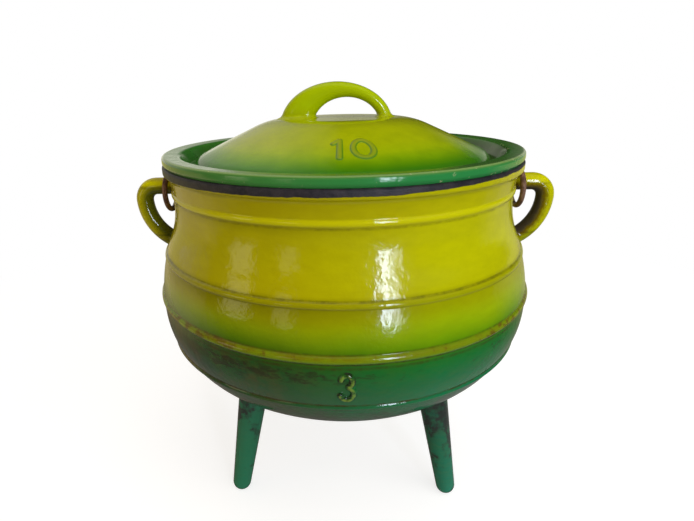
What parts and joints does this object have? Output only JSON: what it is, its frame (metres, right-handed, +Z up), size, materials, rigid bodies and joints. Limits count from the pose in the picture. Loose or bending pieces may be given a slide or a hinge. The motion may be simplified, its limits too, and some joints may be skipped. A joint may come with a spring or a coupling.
{
  "type": "potjie pot",
  "caption": "Three-legged round cooking pot of enamelled cast iron, with two side ears, a drop-in lid with a loop handle and a wire bail that hangs behind.",
  "frame": {"origin": "on the floor, under the middle of the pot's round body", "axes": "+Z up, X through the two ears, +Y towards the back, where one leg stands and the bail hangs; the other two legs stand at the front"},
  "size_m": [0.3194, 0.2829, 0.3217],
  "materials": {
    "pot_enamel": "glossy enamel shaded from olive yellow at the neck to dark green below, worn to dark iron in patches, with a black matte lip",
    "lid_enamel": "glossy enamel, dark green on the rim shading to olive yellow on the dome and lime on the handle",
    "bail_wire": "bare steel wire with brown rust"
  },
  "bodies": {
    "pot": {"pot": "pot_enamel", "lid": "lid_enamel"},
    "bail": {"bail": "bail_wire"}
  },
  "joints": [
    {"name": "bail_swing", "type": "hinge", "parent": "pot", "child": "bail", "pos_m": [0, 0, 0.2443], "axis": [1, 0, 0], "range_deg": [0, 229.6]}
  ]
}
